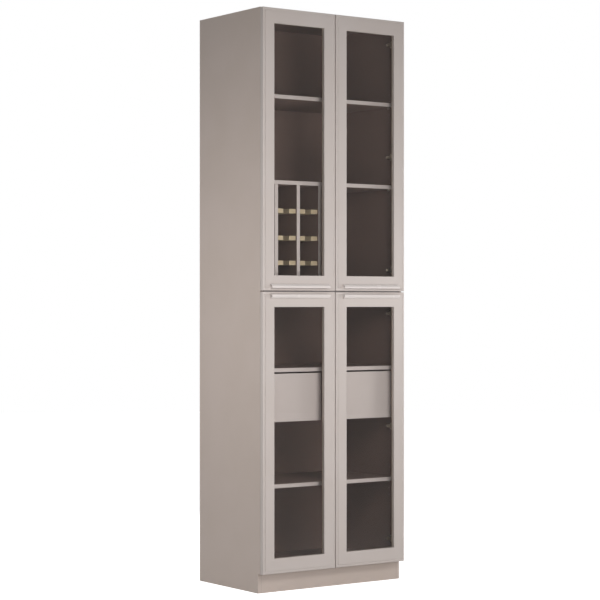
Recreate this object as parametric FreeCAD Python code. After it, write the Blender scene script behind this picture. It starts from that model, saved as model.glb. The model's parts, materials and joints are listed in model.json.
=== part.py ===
# Tall glazed larder cabinet: two tiers of framed glass doors, shelves, a bottle rack and two inner drawers.
# Millimetres, +Z up, the doors face -Y. The origin is on the floor, below the middle of the whole box.

import FreeCAD, Part
import math
import os

Vector = FreeCAD.Vector

# Overall sizes. The depth of the carcass leaves out the doors and their handles.
WIDTH = 800.0
HEIGHT = 2610.0
CARCASS_DEPTH = 499.0

# Boards of the carcass.
BOARD = 18.0
BACK_BOARD = 8.0
BACK_GROOVE = 8.0
BACK_PLAY = 0.5
RAIL_HEIGHT = 100.0
EDGE_ROUND = 1.0

# Toe recess and plinth.
PLINTH_HEIGHT = 86.0
TOE_RECESS = 16.0

# Height of the line where the upper doors meet the lower ones, which is also the middle of the middle panel.
SPLIT_HEIGHT = 1346.0

# Doors.
DOOR_THICKNESS = 22.0
DOOR_GAP = 2.0
DOOR_SIDE_INSET = 0.5
DOOR_TOP_INSET = 2.0
DOOR_BOTTOM_INSET = 1.0
DOOR_MIDDLE_GAP = 4.0
DOOR_SPLIT_GAP = 5.0
STILE_WIDTH = 61.0
RAIL_WIDTH = 68.0

# Moulding of a door's face: a rounded border bead with a groove at its inner side.
BEAD_WIDTH = 11.0
BEAD_OUTER_ROUND = 3.5
BEAD_INNER_ROUND = 2.0
GROOVE_WIDTH = 1.6
GROOVE_DEPTH = 2.2
WINDOW_ROUND = 1.2

# Glass and the strips that hold it.
GLASS_THICKNESS = 4.0
GLASS_SETBACK = 12.0
REBATE_WIDTH = 9.0
GLASS_PLAY = 1.0

# Handles: an open profile whose finger gap faces the split between the tiers. Its shoulder slopes at 45 degrees.
HANDLE_REACH = 17.0
HANDLE_HEIGHT = 18.0
HANDLE_END_MARGIN = 38.0
HANDLE_FROM_SPLIT = 23.0
HANDLE_FLANGE = 2.2
HANDLE_WEB = 2.4
HANDLE_LIP = 2.6
HANDLE_SHOULDER = 9.0
HANDLE_TIP_ROUND = 1.2

# Concealed hinges. The share is the height of an upper door's second hinge between two shelves.
HINGE_COUNT = 3
HINGE_END_MARGIN = 100.0
HINGE_BELOW_DRAWER = 42.5
HINGE_OVER_RACK_SHARE = 0.36
CUP_RADIUS = 17.5
CUP_DEPTH = 11.0
CUP_WALL = 1.5
CUP_EDGE_DISTANCE = 22.5
CUP_FLANGE_RADIUS = 20.0
CUP_FLANGE = 0.8
CUP_PLAY = 0.1
CUP_FLOOR_GAP = 0.5
HINGE_PLATE_START = 20.0
HINGE_PLATE_LENGTH = 44.0
HINGE_PLATE_HEIGHT = 34.0
HINGE_PLATE_THICKNESS = 3.0
HINGE_ARM_LENGTH = 74.0
HINGE_ARM_HEIGHT = 14.0
HINGE_ARM_THICKNESS = 12.0
HINGE_ARM_ROUND = 3.0
HINGE_ARM_GAP = 0.4

# Bumper pads between a door and the carcass.
BUMPER_RADIUS = 4.0
BUMPER_THICKNESS = 1.6
BUMPER_FROM_END = 6.0
BUMPER_FROM_EDGE = 22.0

# Shelves: the heights are those of their top faces, above the floor. The share places the top shelf between
# the shelf over the rack and the top of the cabinet.
SHELF_SETBACK = 40.0
SHELF_END_PLAY = 1.0
SHELF_BACK_PLAY = 1.0
SHELF_ROUND = 1.0
TOP_SHELF_SHARE = 0.505
DRAWER_SHELF_HEIGHT = 1000.0
BOTTOM_SHELF_HEIGHT = 478.0

# Shelf pins and the holes they stand in.
PIN_RADIUS = 2.5
PIN_FIT = 0.05
PIN_IN_SIDE = 9.0
PIN_SEAT = 8.0
PIN_HOLE_EXTRA = 1.0
PIN_HOLE_PITCH = 32.0
PIN_HOLES_EACH_WAY = 2
PIN_FROM_SHELF_FRONT = 30.0
PIN_FROM_SHELF_BACK = 50.0

# Dowels in the joints of the fixed boards. The shares are of a board's depth or height.
DOWEL_RADIUS = 4.0
DOWEL_FIT = 0.05
DOWEL_IN_SIDE = 12.0
DOWEL_IN_BOARD = 20.0
DOWEL_HOLE_EXTRA = 1.0
PANEL_DOWEL_SHARES = (0.12, 0.5, 0.88)
RAIL_DOWEL_SHARES = (0.25, 0.75)

# Bottle rack: uprights stand between the middle panel and the shelf above, with two battens to each cell and
# row. A row's rise is the height of its battens' undersides above the middle panel.
RACK_ROOM = 473.0
RACK_FIRST_UPRIGHT = 88.8
RACK_CELL = 102.9
RACK_UPRIGHTS = 3
BATTEN_WIDTH = 35.0
BATTEN_HEIGHT = 20.0
BATTEN_SETBACK = 10.0
BATTEN_ROUND = 1.5
LOW_ROW_RISE = 110.0
MIDDLE_ROW_RISE = 222.5
HIGH_ROW_RISE = 344.5

# Inner drawers, hung between the sides and a divider below the fixed shelf.
DRAWER_TOP_GAP = 7.0
DRAWER_HEIGHT = 217.0
DRAWER_SLIDE_SPACE = 13.5
DRAWER_FRONT = 18.0
DRAWER_SIDE = 12.0
DRAWER_BACK_GAP = 24.0
DRAWER_SIDE_TOP_GAP = 32.0
DRAWER_SIDE_LIFT = 12.0
DRAWER_BOTTOM = 6.0
DRAWER_BOTTOM_LIFT = 10.0
DRAWER_GROOVE = 5.0
DRAWER_PLAY = 0.2
DRAWER_ROUND = 1.0
DIVIDER_CORE = 10.0

# Drawer slides: a channel on the cabinet and a runner on the drawer that travels in it.
SLIDE_HEIGHT = 45.0
SLIDE_STEEL = 1.5
SLIDE_DEPTH = 10.0
SLIDE_FROM_FRONT = 20.0
SLIDE_FROM_BACK = 9.0
SLIDE_FROM_BOTTOM = 60.0
RUNNER_THICKNESS = 10.5
RUNNER_PLAY = 0.4

# Levelling feet under the bottom panel.
FOOT_FROM_SIDE = 60.0
FOOT_FROM_PLINTH = 55.0
FOOT_FROM_BACK = 70.0
FOOT_PAD_RADIUS = 28.0
FOOT_PAD_HEIGHT = 8.0
FOOT_SCREW_RADIUS = 6.0
FOOT_SCREW_TOP_GAP = 8.0
FOOT_SOCKET_RADIUS = 17.0
FOOT_SOCKET_LENGTH = 46.0
FOOT_FLANGE_SIZE = 70.0
FOOT_FLANGE = 4.0
FOOT_FIT = 0.2

# How far a cutting body runs past the face that it cuts.
OVERRUN = 1.0

# Planes worked out from the sizes above.
HALF_WIDTH = WIDTH / 2
INNER_X = HALF_WIDTH - BOARD
TOTAL_DEPTH = CARCASS_DEPTH + DOOR_GAP + DOOR_THICKNESS + HANDLE_REACH
BACK_Y = TOTAL_DEPTH / 2
CARCASS_Y = BACK_Y - CARCASS_DEPTH
DOOR_BACK_Y = CARCASS_Y - DOOR_GAP
DOOR_FACE_Y = DOOR_BACK_Y - DOOR_THICKNESS
BACK_PANEL_REAR_Y = BACK_Y - BOARD
BACK_PANEL_Y = BACK_PANEL_REAR_Y - BACK_BOARD
PLINTH_Y = CARCASS_Y + TOE_RECESS
SHELF_Y = CARCASS_Y + SHELF_SETBACK
SHELF_BACK_Y = BACK_PANEL_Y - SHELF_BACK_PLAY
MIDDLE_TOP_Z = SPLIT_HEIGHT + BOARD / 2
MIDDLE_BOTTOM_Z = SPLIT_HEIGHT - BOARD / 2
RACK_SHELF_HEIGHT = MIDDLE_TOP_Z + RACK_ROOM + BOARD
TOP_SHELF_HEIGHT = RACK_SHELF_HEIGHT + (HEIGHT - RACK_SHELF_HEIGHT) * TOP_SHELF_SHARE
DRAWER_TOP_Z = DRAWER_SHELF_HEIGHT - BOARD - DRAWER_TOP_GAP
DRAWER_Z = DRAWER_TOP_Z - DRAWER_HEIGHT
DIVIDER_X = BOARD + DIVIDER_CORE / 2

X_AXIS = Vector(1, 0, 0)
Y_AXIS = Vector(0, 1, 0)
Z_AXIS = Vector(0, 0, 1)


def block(x_ends, y_ends, z_ends):
    """A box between two ends on each axis, given in either order."""
    low = Vector(min(x_ends), min(y_ends), min(z_ends))
    high = Vector(max(x_ends), max(y_ends), max(z_ends))
    size = high - low
    return Part.makeBox(size.x, size.y, size.z, low)


def edges_on(shape, test):
    """The straight edges of a shape whose two ends both pass a test."""
    found = []
    for edge in shape.Edges:
        ends = [vertex.Point for vertex in edge.Vertexes]
        if len(ends) == 2 and all(test(end) for end in ends):
            found.append(edge)
    return found


def near(value, target):
    """Whether a coordinate lies on a plane."""
    return abs(value - target) < EDGE_ROUND / 100


def save(name, solids):
    """Writes one sub-part, which may be several separate solids."""
    shape = solids[0] if len(solids) == 1 else Part.makeCompound(solids)
    shape.exportStep(os.path.join("parts", name + ".step"))


def round_front(board, y, radius):
    """Rounds the long front edges of a board that lies flat."""
    return board.makeFillet(radius, edges_on(board, lambda p: near(p.y, y)))


# Places of the dowels: the y and z of each dowel's axis, the same at both ends of a board.
def flat_dowels(y_front, y_back, z_middle):
    return [(y_front + (y_back - y_front) * share, z_middle) for share in PANEL_DOWEL_SHARES]


def upright_dowels(y_middle, z_low, z_high):
    return [(y_middle, z_low + (z_high - z_low) * share) for share in RAIL_DOWEL_SHARES]


TOP_DOWELS = flat_dowels(CARCASS_Y, BACK_PANEL_Y, HEIGHT - BOARD / 2)
MIDDLE_DOWELS = flat_dowels(CARCASS_Y, BACK_PANEL_Y, SPLIT_HEIGHT)
BOTTOM_DOWELS = flat_dowels(CARCASS_Y, BACK_PANEL_Y, PLINTH_HEIGHT + BOARD / 2)
FIXED_SHELF_DOWELS = flat_dowels(SHELF_Y, BACK_PANEL_Y, DRAWER_SHELF_HEIGHT - BOARD / 2)
PLINTH_DOWELS = upright_dowels(PLINTH_Y + BOARD / 2, 0, PLINTH_HEIGHT)
TOP_RAIL_DOWELS = upright_dowels(BACK_Y - BOARD / 2, HEIGHT - RAIL_HEIGHT, HEIGHT)
MIDDLE_RAIL_DOWELS = upright_dowels(BACK_Y - BOARD / 2,
                                    SPLIT_HEIGHT - RAIL_HEIGHT / 2, SPLIT_HEIGHT + RAIL_HEIGHT / 2)
ALL_DOWELS = (TOP_DOWELS + MIDDLE_DOWELS + BOTTOM_DOWELS + FIXED_SHELF_DOWELS
              + PLINTH_DOWELS + TOP_RAIL_DOWELS + MIDDLE_RAIL_DOWELS)


def dowel_rod(side, y, z, radius, extra):
    """A round rod across the joint of a board and a side panel, longer by extra at both ends."""
    length = DOWEL_IN_BOARD + DOWEL_IN_SIDE + extra + extra
    start = side * (INNER_X - DOWEL_IN_BOARD - extra)
    return Part.makeCylinder(radius, length, Vector(start, y, z), X_AXIS * side)


def drilled_for_dowels(shape, sides, places):
    radius = DOWEL_RADIUS + DOWEL_FIT
    return shape.cut([dowel_rod(side, y, z, radius, DOWEL_HOLE_EXTRA) for side in sides for y, z in places])


def joint_dowels():
    return [dowel_rod(side, y, z, DOWEL_RADIUS, 0) for side in (-1, 1) for y, z in ALL_DOWELS]


# Places of the shelf pins.
PIN_ROWS_Y = (SHELF_Y + PIN_FROM_SHELF_FRONT, SHELF_BACK_Y - PIN_FROM_SHELF_BACK)
PINNED_SHELVES = (TOP_SHELF_HEIGHT, RACK_SHELF_HEIGHT, BOTTOM_SHELF_HEIGHT)


def pin_axis_height(shelf_height):
    return shelf_height - BOARD - PIN_SEAT / 2


def side_panel(side):
    """A side panel from floor to top, with the toe notch, the groove for the back and all its holes."""
    panel = block((side * INNER_X, side * HALF_WIDTH), (CARCASS_Y, BACK_Y), (0, HEIGHT))
    outer_edges = edges_on(panel, lambda p: near(p.x, side * HALF_WIDTH) and p.y < BACK_Y)
    panel = panel.makeFillet(EDGE_ROUND, outer_edges)
    notch = block((side * (INNER_X - OVERRUN), side * (HALF_WIDTH + OVERRUN)),
                  (CARCASS_Y - OVERRUN, PLINTH_Y), (-OVERRUN, PLINTH_HEIGHT))
    groove = block((side * (INNER_X - OVERRUN), side * (INNER_X + BACK_GROOVE)),
                   (BACK_PANEL_Y, BACK_PANEL_REAR_Y), (PLINTH_HEIGHT, HEIGHT + OVERRUN))
    cutters = [notch, groove]
    for shelf_height in PINNED_SHELVES:
        for step in range(-PIN_HOLES_EACH_WAY, PIN_HOLES_EACH_WAY + 1):
            for y in PIN_ROWS_Y:
                z = pin_axis_height(shelf_height) + step * PIN_HOLE_PITCH
                start = Vector(side * (INNER_X - OVERRUN), y, z)
                depth = PIN_IN_SIDE + PIN_HOLE_EXTRA + OVERRUN
                cutters.append(Part.makeCylinder(PIN_RADIUS + PIN_FIT, depth, start, X_AXIS * side))
    return drilled_for_dowels(panel.cut(cutters), (side,), ALL_DOWELS)


def fixed_panel(z_low, places):
    """A full-depth board between the side panels, dowelled at both ends."""
    panel = block((-INNER_X, INNER_X), (CARCASS_Y, BACK_PANEL_Y), (z_low, z_low + BOARD))
    return drilled_for_dowels(round_front(panel, CARCASS_Y, EDGE_ROUND), (-1, 1), places)


def back_panel(z_low, z_high):
    reach = INNER_X + BACK_GROOVE - BACK_PLAY
    return block((-reach, reach), (BACK_PANEL_Y, BACK_PANEL_REAR_Y), (z_low, z_high))


def hanging_rail(z_low, places):
    rail = block((-INNER_X, INNER_X), (BACK_PANEL_REAR_Y, BACK_Y), (z_low, z_low + RAIL_HEIGHT))
    return drilled_for_dowels(rail, (-1, 1), places)


def plinth_board():
    board = block((-INNER_X, INNER_X), (PLINTH_Y, PLINTH_Y + BOARD), (0, PLINTH_HEIGHT))
    return drilled_for_dowels(board, (-1, 1), PLINTH_DOWELS)


def loose_shelf(height):
    """An adjustable shelf that lies on four pins."""
    reach = INNER_X - SHELF_END_PLAY
    shelf = block((-reach, reach), (SHELF_Y, SHELF_BACK_Y), (height - BOARD, height))
    return round_front(shelf, SHELF_Y, SHELF_ROUND)


def fixed_shelf():
    """The fixed shelf that carries the divider and covers the drawers."""
    shelf = block((-INNER_X, INNER_X), (SHELF_Y, BACK_PANEL_Y),
                  (DRAWER_SHELF_HEIGHT - BOARD, DRAWER_SHELF_HEIGHT))
    return drilled_for_dowels(round_front(shelf, SHELF_Y, SHELF_ROUND), (-1, 1), FIXED_SHELF_DOWELS)


def shelf_pins():
    """Pins with a square seat, four to a loose shelf."""
    pins = []
    for shelf_height in PINNED_SHELVES:
        z = pin_axis_height(shelf_height)
        for y in PIN_ROWS_Y:
            for side in (-1, 1):
                stem = Part.makeCylinder(PIN_RADIUS, PIN_IN_SIDE, Vector(side * INNER_X, y, z), X_AXIS * side)
                seat = block((side * INNER_X, side * (INNER_X - PIN_SEAT)),
                             (y - PIN_SEAT / 2, y + PIN_SEAT / 2), (z - PIN_SEAT / 2, z + PIN_SEAT / 2))
                pins.append(stem.fuse(seat).removeSplitter())
    return pins


def divider_boards():
    """Two boards that hang from the fixed shelf and carry the inner slides."""
    boards = []
    for side in (-1, 1):
        boards.append(block((side * DIVIDER_CORE / 2, side * DIVIDER_X), (SHELF_Y, SHELF_BACK_Y),
                            (DRAWER_Z, DRAWER_SHELF_HEIGHT - BOARD)))
    return boards


def divider_core():
    """The filler between the two boards of the divider."""
    return block((-DIVIDER_CORE / 2, DIVIDER_CORE / 2), (SHELF_Y, SHELF_BACK_Y),
                 (DRAWER_Z, DRAWER_SHELF_HEIGHT - BOARD))


# Bottle rack. An upright's place is the x of its left face.
def upright_left(number):
    return -INNER_X + RACK_FIRST_UPRIGHT + number * (BOARD + RACK_CELL)


def rack_uprights():
    uprights = []
    for number in range(RACK_UPRIGHTS):
        left = upright_left(number)
        upright = block((left, left + BOARD), (SHELF_Y, SHELF_BACK_Y),
                        (MIDDLE_TOP_Z, RACK_SHELF_HEIGHT - BOARD))
        uprights.append(round_front(upright, SHELF_Y, SHELF_ROUND))
    return uprights


def rack_battens():
    """Two battens to each cell and row, one on each upright, with a gap that a bottle settles in."""
    battens = []
    front = SHELF_Y + BATTEN_SETBACK
    for number in range(RACK_UPRIGHTS - 1):
        cell_left = upright_left(number) + BOARD
        cell_right = cell_left + RACK_CELL
        for rise in (LOW_ROW_RISE, MIDDLE_ROW_RISE, HIGH_ROW_RISE):
            low = MIDDLE_TOP_Z + rise
            for wall, turn in ((cell_left, 1), (cell_right, -1)):
                inner = wall + turn * BATTEN_WIDTH
                batten = block((wall, inner), (front, SHELF_BACK_Y), (low, low + BATTEN_HEIGHT))
                edges = edges_on(batten, lambda p: near(p.x, inner))
                edges = [edge for edge in edges if edge.BoundBox.YLength > edge.BoundBox.ZLength]
                battens.append(batten.makeFillet(BATTEN_ROUND, edges))
    return battens


# Doors. A door's ends are the x and z of its outer edges; its side is -1 for left and 1 for right.
def door_x(side):
    return side * (HALF_WIDTH - DOOR_SIDE_INSET), side * DOOR_MIDDLE_GAP / 2


def door_z(tier):
    if tier == "upper":
        return SPLIT_HEIGHT + DOOR_SPLIT_GAP / 2, HEIGHT - DOOR_TOP_INSET
    return PLINTH_HEIGHT + DOOR_BOTTOM_INSET, SPLIT_HEIGHT - DOOR_SPLIT_GAP / 2


def evenly_spaced(first, last, count):
    pitch = (last - first) / max(count - 1, 1)
    return [first + number * pitch for number in range(count)]


def hinge_heights(tier):
    """Near both ends of a door and between, clear of the shelf over the rack and of the drawers."""
    low, high = door_z(tier)
    first = low + HINGE_END_MARGIN
    last = high - HINGE_END_MARGIN
    if tier == "upper":
        room = TOP_SHELF_HEIGHT - BOARD - RACK_SHELF_HEIGHT
        second = RACK_SHELF_HEIGHT + room * HINGE_OVER_RACK_SHARE
        return [first] + evenly_spaced(second, last, HINGE_COUNT - 1)
    return evenly_spaced(first, DRAWER_Z - HINGE_BELOW_DRAWER, HINGE_COUNT - 1) + [last]


def cup_x(side):
    return side * (HALF_WIDTH - DOOR_SIDE_INSET - CUP_EDGE_DISTANCE)


def inset_block(side, tier, across, along, y_ends):
    """A box over a whole door, drawn in by across at its upright edges and by along at its ends."""
    outer, inner = door_x(side)
    low, high = door_z(tier)
    return block((outer - side * across, inner + side * across), y_ends, (low + along, high - along))


def door_frame(side, tier):
    """A one-piece frame: rounded bead and groove in front, rebate and cup pockets behind."""
    slab = inset_block(side, tier, 0, 0, (DOOR_FACE_Y, DOOR_BACK_Y))
    slab = round_front(slab, DOOR_FACE_Y, BEAD_OUTER_ROUND)
    groove_y = (DOOR_FACE_Y - OVERRUN, DOOR_FACE_Y + GROOVE_DEPTH)
    groove_end = BEAD_WIDTH + GROOVE_WIDTH
    groove = inset_block(side, tier, BEAD_WIDTH, BEAD_WIDTH, groove_y)
    groove = groove.cut(inset_block(side, tier, groove_end, groove_end, groove_y))
    slab = slab.cut(groove)
    outer, inner = door_x(side)
    bead_x = (outer - side * BEAD_WIDTH, inner + side * BEAD_WIDTH)
    bead_z = (door_z(tier)[0] + BEAD_WIDTH, door_z(tier)[1] - BEAD_WIDTH)

    def on_bead_side(p):
        at_side = near(p.x, bead_x[0]) or near(p.x, bead_x[1])
        at_end = near(p.z, bead_z[0]) or near(p.z, bead_z[1])
        return near(p.y, DOOR_FACE_Y) and at_side and at_end

    slab = slab.makeFillet(BEAD_INNER_ROUND, edges_on(slab, on_bead_side))
    window = inset_block(side, tier, STILE_WIDTH, RAIL_WIDTH, (DOOR_FACE_Y - OVERRUN, DOOR_BACK_Y + OVERRUN))
    slab = slab.cut(window)
    window_x = (outer - side * STILE_WIDTH, inner + side * STILE_WIDTH)

    def on_window(p):
        return near(p.y, DOOR_FACE_Y) and (near(p.x, window_x[0]) or near(p.x, window_x[1]))

    slab = slab.makeFillet(WINDOW_ROUND, edges_on(slab, on_window))
    rebate = inset_block(side, tier, STILE_WIDTH - REBATE_WIDTH, RAIL_WIDTH - REBATE_WIDTH,
                         (DOOR_FACE_Y + GLASS_SETBACK, DOOR_BACK_Y + OVERRUN))
    cutters = [rebate]
    pocket_depth = CUP_DEPTH + CUP_FLOOR_GAP + OVERRUN
    for z in hinge_heights(tier):
        start = Vector(cup_x(side), DOOR_BACK_Y + OVERRUN, z)
        cutters.append(Part.makeCylinder(CUP_RADIUS + CUP_PLAY, pocket_depth, start, -Y_AXIS))
    return slab.cut(cutters)


def door_glass(side, tier):
    """The pane, a little smaller than the rebate that it lies in."""
    front = DOOR_FACE_Y + GLASS_SETBACK
    across = STILE_WIDTH - REBATE_WIDTH + GLASS_PLAY
    along = RAIL_WIDTH - REBATE_WIDTH + GLASS_PLAY
    return inset_block(side, tier, across, along, (front, front + GLASS_THICKNESS))


def glazing_beads(side, tier):
    """Four strips that fill the rebate behind the pane, flush with the back of the frame."""
    y_ends = (DOOR_FACE_Y + GLASS_SETBACK + GLASS_THICKNESS, DOOR_BACK_Y)
    outer, inner = door_x(side)
    low, high = door_z(tier)
    rebate_across = STILE_WIDTH - REBATE_WIDTH
    rebate_along = RAIL_WIDTH - REBATE_WIDTH
    rebate_x = (outer - side * rebate_across, inner + side * rebate_across)
    window_x = (outer - side * STILE_WIDTH, inner + side * STILE_WIDTH)
    strips = []
    for rebate_edge, window_edge in zip(rebate_x, window_x):
        strips.append(block((rebate_edge, window_edge), y_ends, (low + rebate_along, high - rebate_along)))
    strips.append(block(window_x, y_ends, (low + rebate_along, low + RAIL_WIDTH)))
    strips.append(block(window_x, y_ends, (high - RAIL_WIDTH, high - rebate_along)))
    return strips


def door_handle(side, tier):
    """An open profile: a flange on the door, a web away from the split, a sloping shoulder and a lip in front."""
    outer, inner = door_x(side)
    away = 1 if tier == "upper" else -1
    middle = SPLIT_HEIGHT + away * HANDLE_FROM_SPLIT
    half = HANDLE_HEIGHT / 2
    start = min(outer, inner) + HANDLE_END_MARGIN
    length = abs(outer - inner) - HANDLE_END_MARGIN - HANDLE_END_MARGIN

    def point(reach, rise):
        return Vector(start, DOOR_FACE_Y - reach, middle + away * rise)

    lip_back = HANDLE_REACH - HANDLE_LIP
    slope = HANDLE_REACH + half - HANDLE_SHOULDER  # reach and rise of the shoulder's outside add up to this
    inner_slope = slope - HANDLE_WEB * math.sqrt(2)
    corners = [point(0, -half), point(0, half), point(slope - half, half),
               point(HANDLE_REACH, slope - HANDLE_REACH), point(HANDLE_REACH, -half), point(lip_back, -half),
               point(lip_back, inner_slope - lip_back), point(inner_slope - half + HANDLE_WEB, half - HANDLE_WEB),
               point(HANDLE_FLANGE, half - HANDLE_WEB), point(HANDLE_FLANGE, -half)]
    bar = Part.Face(Part.makePolygon(corners + corners[:1])).extrude(X_AXIS * length)
    tips = []
    for tip in corners[4:6]:
        tips += edges_on(bar, lambda p: near(p.y, tip.y) and near(p.z, tip.z))
    return bar.makeFillet(HANDLE_TIP_ROUND, tips)


def hinge_cups(side, tier):
    """Steel cups in the back of a door, each with a thin flange."""
    cups = []
    for z in hinge_heights(tier):
        centre = Vector(cup_x(side), DOOR_BACK_Y, z)
        body = Part.makeCylinder(CUP_RADIUS, CUP_DEPTH, centre, -Y_AXIS)
        flange = Part.makeCylinder(CUP_FLANGE_RADIUS, CUP_FLANGE, centre, Y_AXIS)
        mouth = centre + Y_AXIS * (CUP_FLANGE + OVERRUN)
        reach = CUP_FLANGE + OVERRUN + CUP_DEPTH - CUP_WALL
        hollow = Part.makeCylinder(CUP_RADIUS - CUP_WALL, reach, mouth, -Y_AXIS)
        cups.append(body.fuse(flange).cut(hollow).removeSplitter())
    return cups


def hinge_plates():
    """Mounting plates on the inner faces of the sides."""
    plates = []
    front = CARCASS_Y + HINGE_PLATE_START
    for side in (-1, 1):
        for tier in ("upper", "lower"):
            for z in hinge_heights(tier):
                plates.append(block((side * INNER_X, side * (INNER_X - HINGE_PLATE_THICKNESS)),
                                    (front, front + HINGE_PLATE_LENGTH),
                                    (z - HINGE_PLATE_HEIGHT / 2, z + HINGE_PLATE_HEIGHT / 2)))
    return plates


def hinge_arms():
    """Arms on the plates, which reach forward to the cups of the closed doors."""
    arms = []
    tip = DOOR_BACK_Y + CUP_FLANGE + HINGE_ARM_GAP
    for side in (-1, 1):
        near_face = side * (INNER_X - HINGE_PLATE_THICKNESS)
        far_face = near_face - side * HINGE_ARM_THICKNESS
        for tier in ("upper", "lower"):
            for z in hinge_heights(tier):
                arm = block((near_face, far_face), (tip, tip + HINGE_ARM_LENGTH),
                            (z - HINGE_ARM_HEIGHT / 2, z + HINGE_ARM_HEIGHT / 2))
                edges = edges_on(arm, lambda p: near(p.x, far_face))
                arms.append(arm.makeFillet(HINGE_ARM_ROUND, edges))
    return arms


def bumpers(side, tier):
    """Pads near the free edge of a door, one at each end, just clear of the carcass."""
    low, high = door_z(tier)
    x = side * (DOOR_MIDDLE_GAP / 2 + BUMPER_FROM_EDGE)
    places = [Vector(x, DOOR_BACK_Y, z) for z in (low + BUMPER_FROM_END, high - BUMPER_FROM_END)]
    return [Part.makeCylinder(BUMPER_RADIUS, BUMPER_THICKNESS, place, Y_AXIS) for place in places]


# Drawers. Each is as wide as its bay less the space for a slide on both sides.
def drawer_x(side):
    return side * (DIVIDER_X + DRAWER_SLIDE_SPACE), side * (INNER_X - DRAWER_SLIDE_SPACE)


DRAWER_SIDE_Z = DRAWER_Z + DRAWER_SIDE_LIFT
DRAWER_SIDE_TOP_Z = DRAWER_TOP_Z - DRAWER_SIDE_TOP_GAP
DRAWER_BOTTOM_Z = DRAWER_SIDE_Z + DRAWER_BOTTOM_LIFT
DRAWER_BOX_Y = SHELF_Y + DRAWER_FRONT
DRAWER_BACK_Y = BACK_PANEL_Y - DRAWER_BACK_GAP


def drawer_bottom(side, play):
    """The bottom board, in grooves of the front and sides; play widens the copy that cuts the grooves."""
    inner, outer = drawer_x(side)
    inset = side * (DRAWER_SIDE - DRAWER_GROOVE - play)
    return block((inner + inset, outer - inset), (DRAWER_BOX_Y - DRAWER_GROOVE - play, DRAWER_BACK_Y),
                 (DRAWER_BOTTOM_Z, DRAWER_BOTTOM_Z + DRAWER_BOTTOM))


def drawer_front(side):
    front = block(drawer_x(side), (SHELF_Y, DRAWER_BOX_Y), (DRAWER_Z, DRAWER_TOP_Z))
    return round_front(front, SHELF_Y, DRAWER_ROUND).cut(drawer_bottom(side, DRAWER_PLAY))


def drawer_sides(side):
    inner, outer = drawer_x(side)
    walls = []
    for face, turn in ((inner, side), (outer, -side)):
        wall = block((face, face + turn * DRAWER_SIDE), (DRAWER_BOX_Y, DRAWER_BACK_Y),
                     (DRAWER_SIDE_Z, DRAWER_SIDE_TOP_Z))
        walls.append(wall.cut(drawer_bottom(side, DRAWER_PLAY)))
    return walls


def drawer_back(side):
    inner, outer = drawer_x(side)
    return block((inner + side * DRAWER_SIDE, outer - side * DRAWER_SIDE),
                 (DRAWER_BACK_Y - DRAWER_SIDE, DRAWER_BACK_Y),
                 (DRAWER_BOTTOM_Z + DRAWER_BOTTOM, DRAWER_SIDE_TOP_Z))


# Slides. Each entry is the x of the wall that a slide hangs on and the way from it to the drawer.
SLIDE_Y = SHELF_Y + SLIDE_FROM_FRONT
SLIDE_END_Y = DRAWER_BACK_Y - SLIDE_FROM_BACK
SLIDE_Z = DRAWER_Z + SLIDE_FROM_BOTTOM


def slide_walls(side):
    return (side * DIVIDER_X, side), (side * INNER_X, -side)


def slide_rails():
    """Steel channels, open towards the drawers."""
    rails = []
    for side in (-1, 1):
        for wall, turn in slide_walls(side):
            body = block((wall, wall + turn * SLIDE_DEPTH), (SLIDE_Y, SLIDE_END_Y),
                         (SLIDE_Z, SLIDE_Z + SLIDE_HEIGHT))
            hollow = block((wall + turn * SLIDE_STEEL, wall + turn * (SLIDE_DEPTH + OVERRUN)),
                           (SLIDE_Y - OVERRUN, SLIDE_END_Y + OVERRUN),
                           (SLIDE_Z + SLIDE_STEEL, SLIDE_Z + SLIDE_HEIGHT - SLIDE_STEEL))
            rails.append(body.cut(hollow))
    return rails


def drawer_runners(side):
    """Bars on the drawer's sides that run inside the channels."""
    margin = SLIDE_STEEL + RUNNER_PLAY
    runners = []
    for wall, turn in slide_walls(side):
        face = wall + turn * DRAWER_SLIDE_SPACE
        runners.append(block((face, face - turn * RUNNER_THICKNESS), (SLIDE_Y, SLIDE_END_Y),
                             (SLIDE_Z + margin, SLIDE_Z + SLIDE_HEIGHT - margin)))
    return runners


# Levelling feet.
def foot_places():
    x = INNER_X - FOOT_FROM_SIDE
    front = PLINTH_Y + BOARD + FOOT_FROM_PLINTH
    back = BACK_PANEL_Y - FOOT_FROM_BACK
    return [(side * x, y) for side in (-1, 1) for y in (front, back)]


def foot_sockets():
    """A flange under the bottom panel and a barrel that the foot's screw turns in."""
    sockets = []
    half = FOOT_FLANGE_SIZE / 2
    for x, y in foot_places():
        flange = block((x - half, x + half), (y - half, y + half),
                       (PLINTH_HEIGHT - FOOT_FLANGE, PLINTH_HEIGHT))
        top = Vector(x, y, PLINTH_HEIGHT)
        barrel = Part.makeCylinder(FOOT_SOCKET_RADIUS, FOOT_SOCKET_LENGTH, top, -Z_AXIS)
        bore_start = top - Z_AXIS * FOOT_FLANGE
        bore = Part.makeCylinder(FOOT_SCREW_RADIUS + FOOT_FIT, FOOT_SOCKET_LENGTH, bore_start, -Z_AXIS)
        sockets.append(flange.fuse(barrel).cut(bore).removeSplitter())
    return sockets


def foot_screws():
    """A round pad on the floor with the screw that levels the cabinet."""
    screws = []
    for x, y in foot_places():
        foot = Vector(x, y, 0)
        pad = Part.makeCylinder(FOOT_PAD_RADIUS, FOOT_PAD_HEIGHT, foot, Z_AXIS)
        stem = Part.makeCylinder(FOOT_SCREW_RADIUS, PLINTH_HEIGHT - FOOT_SCREW_TOP_GAP, foot, Z_AXIS)
        screws.append(pad.fuse(stem).removeSplitter())
    return screws


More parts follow.
